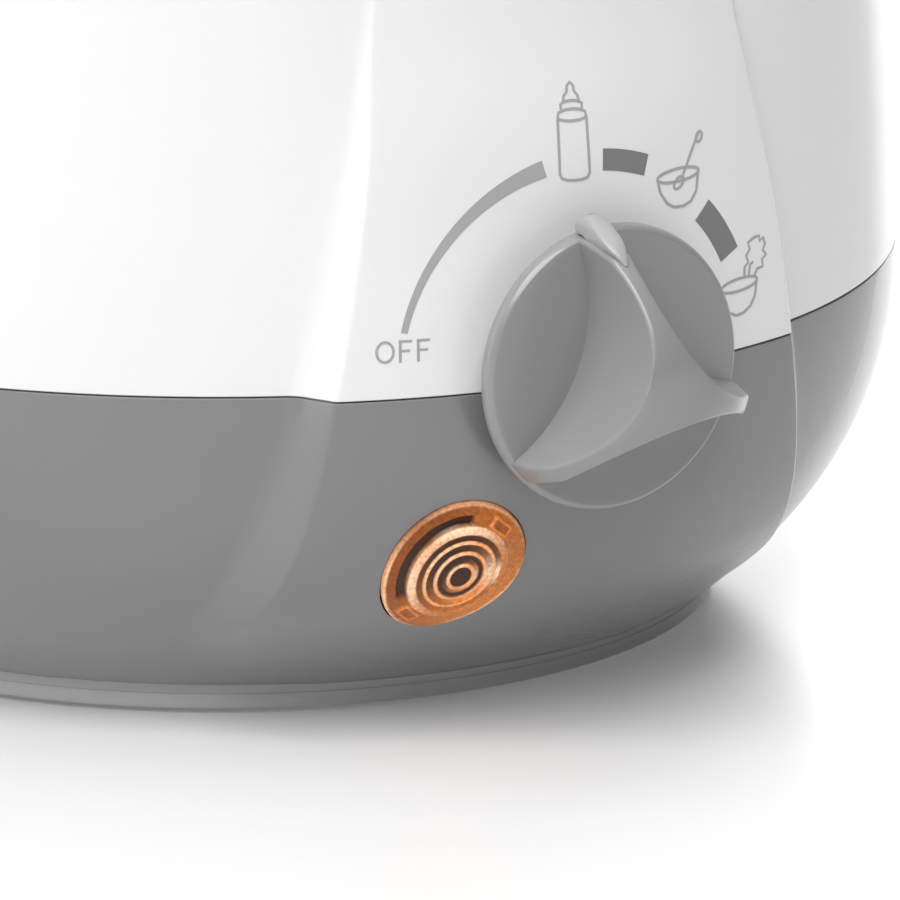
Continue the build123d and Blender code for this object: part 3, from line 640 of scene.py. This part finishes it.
# Pointer: a pale leaf over the end of one arm.
leaf_verts, leaf_rows = [], []
LEAF_ROOT, LEAF_TIP = 12.1, 16.3
LEAF_STEPS, LEAF_LEAN = 40, 0.10
for k in range(LEAF_STEPS + 1):
    t = k / LEAF_STEPS
    r = LEAF_ROOT + (LEAF_TIP - LEAF_ROOT) * (1 - (1 - t) ** 1.5)
    s_ = (r - LEAF_ROOT) / (LEAF_TIP - LEAF_ROOT)
    top_h = float(bezier([(0, crown_height(LEAF_ROOT) + 0.15), (0.45, 80.2),
                          (1, FACE_Y + 0.9)], s_)[1])
    grow = smooth_step(r, LEAF_ROOT - 0.6, 14.4)
    tip_fall = math.sqrt(max(1 - (max(r - 15.1, 0) / 1.22) ** 2, 0.0))
    half = (0.10 + 0.90 * grow) * max(tip_fall, 0.06)
    low_line = FACE_Y + 3.6 - (r - LEAF_ROOT) * 1.45
    low_h = low_line if r < 14.4 else FACE_Y - 0.9 + 1.6 * (max(r - 14.9, 0) / 1.4) ** 2
    low_h = min(low_h, top_h - 0.25)
    cross = [(-half - LEAF_LEAN, low_h), (-half - LEAF_LEAN * 0.5, (low_h + top_h) / 2),
             (-half, top_h - 0.30),
             (-half * 0.95, top_h - 0.12), (-half * 0.82, top_h - 0.03), (-half * 0.4, top_h + 0.03),
             (0, top_h + 0.05)]
    cross += [(-x, h) for x, h in cross[:-1]][::-1]
    leaf_rows.append((r, cross))
spin = math.radians(90 - POINTER_DEG)
for r, cross in leaf_rows:
    for x, h in cross:
        u = r * math.cos(spin) + x * math.sin(spin)
        v = r * math.sin(spin) - x * math.cos(spin)
        leaf_verts.append(on_knob(u, v, h))
width = len(leaf_rows[0][1])
faces = grid_faces(len(leaf_rows), width, False, True)
faces += [tuple(range(width)), tuple(range(len(leaf_verts) - width, len(leaf_verts)))]
pointer_leaf = build("pointer_leaf", leaf_verts, faces, [LIGHT_GREY], "knob", 55)
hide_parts("knob_pointer")


# ---- Indicator lens ---------------------------------------------------------------------
def panel_point(x, z, out=0.0):
    """A point on the panel's face, lifted along its normal."""
    def surface(px, pz):
        r = panel_radius(pz)
        return np.array([px, -math.sqrt(max(r * r - px * px, 1.0)), pz])
    p = surface(x, z)
    du = surface(x + 0.1, z) - surface(x - 0.1, z)
    dv = surface(x, z + 0.1) - surface(x, z - 0.1)
    n = np.cross(du, dv)
    n /= np.linalg.norm(n)
    return p + n * out


def srgb(*c):
    """Linear colour from 0-255 display values."""
    return np.array([((v / 255 + 0.055) / 1.055) ** 2.4 if v > 10 else v / 3294 for v in c])


# Lens colours; the cream one is the colour of the painted highlights.
DARK, BROWN, MID = srgb(52, 24, 8), srgb(122, 62, 18), srgb(168, 92, 32)
AMBER, HIGHLIGHT_CREAM = srgb(214, 128, 56), srgb(253, 222, 188)


def bump_at(x, centre, width):
    """A smooth hump of height 1."""
    return math.exp(-((x - centre) / width) ** 2)


def facing(theta, degrees, width):
    """1 where the angle is at the given one, falling away over a width in degrees."""
    d = (math.degrees(theta) - degrees + 180) % 360 - 180
    return math.exp(-((d / width) ** 2))


def band(x, low, high, soft=0.07):
    """1 between low and high, with soft ends."""
    return smooth_step(x, low - soft, low + soft) * (1 - smooth_step(x, high - soft, high + soft))


def lens_relief_and_painted_light(rho, theta):
    """Height of the moulded rings, and their colour: amber and brown tones with painted highlights,
    painted light and painted shade that change with the angle round the lens.
    """
    # Masks for the upper left and lower right, where painted highlights and painted light fall on the
    # rings.
    upper_left_highlight = facing(theta, 140, 70)
    lower_right_light = facing(theta, -40, 75)
    height, colour = 0.0, DARK.copy()

    def paint(amount, shade):
        nonlocal colour
        colour = colour * (1 - amount) + shade * amount

    def mixed(a, b, t):
        return a * (1 - t) + b * t

    # Rings are amber, turned towards cream on the upper left and lower right as a painted highlight.
    ring_amber_and_highlight = mixed(AMBER, HIGHLIGHT_CREAM, min(upper_left_highlight * 0.55 + 0.2 * lower_right_light, 1))
    for radius, wide in ((1.22, 0.17), (2.40, 0.17), (3.40, 0.16)):
        height += 0.22 * bump_at(rho, radius, 0.22)
        paint(band(rho, radius - wide, radius + wide), ring_amber_and_highlight)
    # The next four bands, each on one side only, are painted highlights and painted light.
    paint(band(rho, 1.30, 1.75) * lower_right_light, mixed(AMBER, HIGHLIGHT_CREAM, facing(theta, 0, 35) * 0.6))
    paint(band(rho, 2.45, 3.25) * facing(theta, -50, 75), mixed(AMBER, HIGHLIGHT_CREAM, facing(theta, 8, 28)))
    paint(band(rho, 3.5, 4.15) * facing(theta, -70, 85), MID)
    paint(band(rho, 3.55, 4.15) * facing(theta, -5, 16), HIGHLIGHT_CREAM * 0.8)
    height += 0.30 * bump_at(rho, 4.5, 0.45)
    # The wide ring is painted towards cream at the top and left as a painted highlight, and lighter at
    # the lower right as painted light.
    ring_glint = max(facing(theta, 95, 50), 0.9 * facing(theta, 190, 45), 0.7 * facing(theta, 150, 14))
    paint(band(rho, 4.15, 4.95), mixed(MID, mixed(AMBER, HIGHLIGHT_CREAM, 0.7), min(0.85 * ring_glint + 0.05, 1)))
    paint(band(rho, 4.2, 4.9) * facing(theta, -60, 60) * 0.8, mixed(MID, AMBER, 0.5))
    # The outer band is painted darker brown at the upper left and lighter orange at the lower right:
    # painted shade and painted light.
    outer = mixed(BROWN, mixed(MID, AMBER, 0.35), min(lower_right_light + 0.35 * facing(theta, 60, 40), 1))
    paint(band(rho, 4.95, 6.9), outer)
    # A slot sunk at the upper left and painted dark: painted shade in the recess.
    shaded_slot_span = smooth_step(math.cos(theta - math.radians(146)), 0.44, 0.50)
    shaded_slot = band(rho, 5.0, 5.8) * shaded_slot_span
    height -= 0.45 * shaded_slot
    paint(shaded_slot, DARK)
    for turn in (52, 232):
        c, s_ = math.cos(math.radians(turn)), math.sin(math.radians(turn))
        along = rho * (math.cos(theta) * c + math.sin(theta) * s_)
        across = rho * (-math.cos(theta) * s_ + math.sin(theta) * c)
        tab = band(along, 5.0, 6.25, 0.1) * band(across, -1.15, 1.15, 0.1)
        inner = band(along, 5.25, 6.0, 0.1) * band(across, -0.9, 0.9, 0.1)
        height += 0.35 * tab - 0.15 * inner
        paint(tab * (1 - inner), mixed(MID, AMBER, 0.7))
        paint(inner, mixed(BROWN, MID, 0.3))
    rim = band(rho, 6.72, 7.02, 0.06)
    height += 0.16 * rim
    # The rim is painted towards cream at the left, the lower right and the top: a painted highlight.
    rim_highlight = max(facing(theta, 195, 45), facing(theta, -40, 35), 0.55 * facing(theta, 75, 50))
    paint(rim, mixed(BROWN, mixed(AMBER, HIGHLIGHT_CREAM, 0.4), min(rim_highlight + 0.05, 1)))
    return height, colour


rings = [0.001] + [0.11 * k for k in range(1, 64)] + [7.0, LENS_R]
STEPS = 240
verts, ambers_with_painted_light = [], []
for rho in rings:
    for k in range(STEPS):
        theta = 2 * math.pi * k / STEPS
        # Each point takes its colour with the painted highlights and painted shade of the rings.
        lift, amber_with_painted_light = lens_relief_and_painted_light(min(rho, 6.99), theta)
        dome = 0.25 + 1.35 * (1 - (rho / LENS_R) ** 2)
        edge = -0.35 * smooth_step(rho, 6.95, LENS_R)
        p = panel_point(LENS_X + rho * math.cos(theta), LENS_Z + rho * math.sin(theta),
                        dome + lift + edge)
        verts.append(tuple(p))
        ambers_with_painted_light.append((*amber_with_painted_light, 1.0))
for depth in (-1.0, -2.9):
    for k in range(STEPS):
        theta = 2 * math.pi * k / STEPS
        verts.append(tuple(panel_point(LENS_X + LENS_R * math.cos(theta),
                                       LENS_Z + LENS_R * math.sin(theta), depth)))
        ambers_with_painted_light.append((*DARK, 1.0))
faces = grid_faces(len(rings) + 2, STEPS, False, True)
faces += [tuple(range(STEPS)), tuple(range(len(verts) - STEPS, len(verts)))]
# The lens glows as the indicator lamp; its base and emission colours both carry the painted highlights
# and painted shade.
LENS_LOOK = Look("amber_lens", tuple(MID), 0.34, Coat_Weight=0.12, Coat_Roughness=0.06,
                 Specular_IOR_Level=0.25, Emission_Strength=0.45)
painted_light_colour_node = LENS_LOOK.tree.nodes.new("ShaderNodeVertexColor")
painted_light_colour_node.layer_name = "amber_with_painted_light"
LENS_LOOK.smudge(300, 0.05).bump(1500, 0.00004, 0.35)
speck = LENS_LOOK.tree.nodes.new("ShaderNodeMix")
speck.data_type = "RGBA"
speck.blend_type = "MULTIPLY"
speck.inputs["Factor"].default_value = 1.0
grain = LENS_LOOK.ramp(LENS_LOOK.noise(2400, 1.0), 0.72, 1.18)
LENS_LOOK.link(painted_light_colour_node.outputs["Color"], speck.inputs["A"])
LENS_LOOK.link(grain, speck.inputs["B"])
LENS_LOOK.link(speck.outputs["Result"], LENS_LOOK.shader.inputs["Base Color"])
LENS_LOOK.link(speck.outputs["Result"], LENS_LOOK.shader.inputs["Emission Color"])
lens = bpy.data.meshes.new("lens_dome")
lens.from_pydata([(x * MM, y * MM, z * MM) for x, y, z in verts], [], faces)
painted_light_colour_layer = lens.color_attributes.new("amber_with_painted_light", "FLOAT_COLOR", "POINT")
painted_light_colour_layer.data.foreach_set("color", np.array(ambers_with_painted_light, float).ravel())
lens.materials.append(LENS_LOOK.material)
lens.polygons.foreach_set("use_smooth", [True] * len(lens.polygons))
lens.set_sharp_from_angle(angle=math.radians(60))
lens_dome = bpy.data.objects.new("lens_dome", lens)
bpy.context.scene.collection.objects.link(lens_dome)
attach(lens_dome, "root")
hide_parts("indicator_lens")


# ---- Printed dial -----------------------------------------------------------------------
def printed(name, strokes, ink):
    """Thin printed strokes lying on the panel. A stroke is [(x, v, width), ...]."""
    verts, faces = [], []
    for stroke in strokes:
        closed = stroke[0][:2] == stroke[-1][:2]
        line = stroke[:-1] if closed else stroke
        fine = []
        total = len(line) if closed else len(line) - 1
        for k in range(total):
            a, b = line[k], line[(k + 1) % len(line)]
            steps = max(int(math.hypot(b[0] - a[0], b[1] - a[1]) / 0.6), 1)
            fine += [tuple(a[i] + (b[i] - a[i]) * j / steps for i in range(3)) for j in range(steps)]
        if not closed:
            fine.append(line[-1])
        first = len(verts)
        count = len(fine)
        for k, (x, v, w) in enumerate(fine):
            before = fine[k - 1] if (k or closed) else fine[k]
            after = fine[(k + 1) % count] if (k + 1 < count or closed) else fine[k]
            dx, dv = after[0] - before[0], after[1] - before[1]
            size_ = math.hypot(dx, dv) or 1
            nx, nv = -dv / size_ * w / 2, dx / size_ * w / 2
            for side_, lift in ((1, 0.035), (-1, 0.035), (-1, -0.05), (1, -0.05)):
                verts.append(tuple(panel_point(x + nx * side_, AXIS_Z + v + nv * side_, lift)))
        for k in range(count if closed else count - 1):
            for j in range(4):
                a, b = first + 4 * k + j, first + 4 * k + (j + 1) % 4
                c = first + 4 * ((k + 1) % count) + (j + 1) % 4
                faces.append((a, b, c, first + 4 * ((k + 1) % count) + j))
        if not closed:
            last = first + 4 * (count - 1)
            faces += [tuple(first + j for j in range(4)), tuple(last + j for j in range(4))[::-1]]
    piece = build(name, verts, faces, [ink], angle=30)
    return piece


def sweep(inner_outer, start, end, steps=36):
    """A stroke along an arc about the knob's axis, angles clockwise from straight up."""
    stroke = []
    for k in range(steps + 1):
        t = k / steps
        inner, outer = inner_outer(t)
        turn = math.radians(start + (end - start) * t)
        middle = (inner + outer) / 2
        stroke.append((middle * math.sin(turn), middle * math.cos(turn), outer - inner))
    return stroke


def oval(cx, cv, rx, rv, width, tilt=0.0, start=0, end=360, steps=28):
    """An outline or an arc of an ellipse."""
    points = []
    for k in range(steps + 1):
        t = math.radians(start + (end - start) * k / steps)
        x, v = rx * math.cos(t), rv * math.sin(t)
        c, s_ = math.cos(math.radians(tilt)), math.sin(math.radians(tilt))
        points.append((round(cx + x * c - v * s_, 5), round(cv + x * s_ + v * c, 5), width))
    if end - start == 360:
        points[-1] = points[0]
    return points


printed("dial_arc", [sweep(lambda t: (20.0 - 0.95 * t**1.5, 20.66 + 0.10 * t), -76.8, -13.3)], INK)
printed("dial_mark_food", [sweep(lambda t: (18.55, 20.68), 6.0, 21.2, 12)], DARK_INK)
printed("dial_mark_steam", [sweep(lambda t: (17.5, 20.1), 46.8, 65.2, 12)], DARK_INK)
PEN = 0.30
off = [oval(-21.65, 2.86, 0.80, 1.0, 0.27)]
for left in (-20.20, -18.45):
    off += [[(left, 1.74, 0.28), (left, 3.98, 0.28)],
            [(left - 0.14, 3.85, 0.26), (left + 1.15, 3.85, 0.26)],
            [(left - 0.1, 2.90, 0.26), (left + 0.95, 2.90, 0.26)]]
printed("dial_off", off, INK)


def turned(points, cx, cv, tilt):
    """A stroke through listed points, tilted and moved to its place on the dial."""
    c, s_ = math.cos(math.radians(tilt)), math.sin(math.radians(tilt))
    return [(cx + x * c - v * s_, cv + x * s_ + v * c, PEN) for x, v in points]


BOTTLE = (-1.12, 21.1)
bottle = [turned(p, *BOTTLE, -3) for p in (
    [(-1.62, 2.75), (-1.68, -2.55), (-1.45, -2.95), (-0.8, -3.15), (0, -3.2), (0.8, -3.15),
     (1.45, -2.95), (1.68, -2.55), (1.62, 2.75)],
    [(-1.62, 2.75), (-0.8, 2.55), (0, 2.5), (0.8, 2.55), (1.62, 2.75)],
    [(-1.62, 2.75), (-1.5, 3.35), (-0.7, 3.6), (0, 3.65), (0.7, 3.6), (1.5, 3.35), (1.62, 2.75)],
    [(-1.15, 3.5), (-1.2, 4.15), (-0.6, 4.4), (0, 4.45), (0.6, 4.4), (1.2, 4.15), (1.15, 3.5)],
    [(-0.9, 4.35), (-0.78, 4.9), (-0.42, 5.3), (-0.35, 5.85), (0, 6.2), (0.35, 5.85),
     (0.42, 5.3), (0.78, 4.9), (0.9, 4.35)])]
printed("dial_bottle", bottle, INK)
bowl = [oval(10.95, 16.75, 2.65, 0.62, PEN, 2),
        turned([(-2.62, -0.1), (-2.45, -1.3), (-1.7, -2.5), (-0.9, -3.0), (0.3, -3.1), (1.3, -2.8),
                (2.1, -1.9), (2.6, 0.0)], 10.95, 16.75, 2),
        oval(10.95, 16.0, 0.75, 0.42, PEN, 40),
        turned([(0.4, -0.35), (1.3, 1.1), (2.35, 2.75), (3.0, 3.6)], 10.95, 16.7, 0),
        oval(14.0, 20.0, 0.34, 0.52, PEN, -35)]
printed("dial_bowl", bowl, INK)
steam = [oval(18.35, 4.6, 2.55, 0.62, PEN, 3),
         turned([(-2.55, -0.1), (-2.3, -1.5), (-1.6, -2.5), (-0.6, -3.0), (0.4, -2.95), (1.4, -2.5),
                 (2.1, -1.6), (2.52, 0.1)], 18.35, 4.6, 3),
         turned([(-0.7, 0.6), (-0.9, 1.5), (-0.5, 2.0), (-0.95, 2.6), (-0.6, 3.3), (-1.0, 3.9),
                 (-0.2, 4.5), (0.5, 4.7), (0.6, 4.2), (1.1, 4.6), (1.5, 4.0), (1.3, 3.4),
                 (1.9, 3.0), (1.4, 2.5), (1.7, 1.8), (0.9, 1.5), (0.7, 0.7)], 19.6, 4.55, -16),
         turned([(-0.1, 0.7), (-0.2, 1.8), (0.2, 2.1)], 19.6, 4.55, -16)]
printed("dial_steam", steam, INK)

# ---- Finish of the CAD nodes ------------------------------------------------------------
for name, node in frame["nodes"].items():
    if name in FINISH:
        node.data.materials.clear()
        node.data.materials.append(FINISH[name])

# ---- Floor, lights, camera --------------------------------------------------------------
floor_mesh = bpy.data.meshes.new("floor")
FLOOR_HALF = 9.0          # metres
floor_mesh.from_pydata([(x * FLOOR_HALF, y * FLOOR_HALF, 0)
                        for x, y in ((-1, -1), (1, -1), (1, 1), (-1, 1))], [], [(0, 1, 2, 3)])
floor = bpy.data.objects.new("floor", floor_mesh)
bpy.context.scene.collection.objects.link(floor)
floor.location.z = -0.0001
floor_look = Look("floor_look", (0.80, 0.80, 0.80), 0.25, Emission_Strength=0.10)
floor_look.shader.inputs["Emission Color"].default_value = (1, 1, 1, 1)
floor_mesh.materials.append(floor_look.material)

world = bpy.data.worlds.new("studio")
bpy.context.scene.world = world
world.use_nodes = True
tree = world.node_tree
background = tree.nodes["Background"]
toward = tree.nodes.new("ShaderNodeTexCoord")
aim_node = tree.nodes.new("ShaderNodeVectorMath")
aim_node.operation = "DOT_PRODUCT"
aim_node.inputs[1].default_value = (-0.35, 0.9, 0.25)
tree.links.new(toward.outputs["Generated"], aim_node.inputs[0])
sky = tree.nodes.new("ShaderNodeMapRange")
sky.inputs["From Min"].default_value = -0.6
sky.inputs["From Max"].default_value = 0.7
sky.inputs["To Min"].default_value = 0.05
sky.inputs["To Max"].default_value = 0.75
tree.links.new(aim_node.outputs["Value"], sky.inputs["Value"])
tree.links.new(sky.outputs["Result"], background.inputs["Strength"])
background.inputs["Color"].default_value = (1, 1, 1, 1)


LIT_POINT = Vector((0, 0, 0.06))          # every light faces this point, in metres


def softbox(name, azimuth, elevation, distance, width, height, power):
    """A rectangular soft light round the object; azimuth 0 is in front, 90 at its right."""
    light = bpy.data.lights.new(name, "AREA")
    light.shape = "RECTANGLE"
    light.size = width
    light.size_y = height
    light.energy = power
    a, e = math.radians(azimuth), math.radians(elevation)
    place = Vector((math.sin(a) * math.cos(e), -math.cos(a) * math.cos(e), math.sin(e)))
    lamp = bpy.data.objects.new(name, light)
    bpy.context.scene.collection.objects.link(lamp)
    lamp.location = LIT_POINT + place * distance
    lamp.rotation_mode = "QUATERNION"
    lamp.rotation_quaternion = (-place).to_track_quat("-Z", "Y")
    return lamp


softbox("key", -38, 50, 1.3, 1.0, 0.8, 14.2)
softbox("left_wall", -97, 12, 0.9, 0.35, 0.9, 1.3)
softbox("overhead", -30, 80, 1.4, 1.2, 1.2, 6.5)
softbox("back_right", 132, 26, 1.3, 0.7, 1.0, 6)

VIEW_AZIMUTH, VIEW_ELEVATION, VIEW_DISTANCE = -30.2, 15.43, 1.5
PAN, PITCH = 0.90, 0.51
camera_data = bpy.data.cameras.new("camera")
camera_data.lens = 586.4
camera_data.sensor_width = 36
camera_data.clip_start, camera_data.clip_end = 0.05, 40
camera = bpy.data.objects.new("camera", camera_data)
bpy.context.scene.collection.objects.link(camera)
a, e = math.radians(VIEW_AZIMUTH), math.radians(VIEW_ELEVATION)
camera.location = (VIEW_DISTANCE * math.cos(e) * math.sin(a),
                   -VIEW_DISTANCE * math.cos(e) * math.cos(a), VIEW_DISTANCE * math.sin(e))
heading = a - math.radians(PAN)
tilt = -e + math.radians(PITCH)
forward = Vector((-math.sin(heading) * math.cos(tilt), math.cos(heading) * math.cos(tilt),
                  math.sin(tilt)))
camera.rotation_mode = "QUATERNION"
camera.rotation_quaternion = forward.to_track_quat("-Z", "Y")
bpy.context.scene.camera = camera
bpy.context.scene.view_settings.view_transform = "Standard"
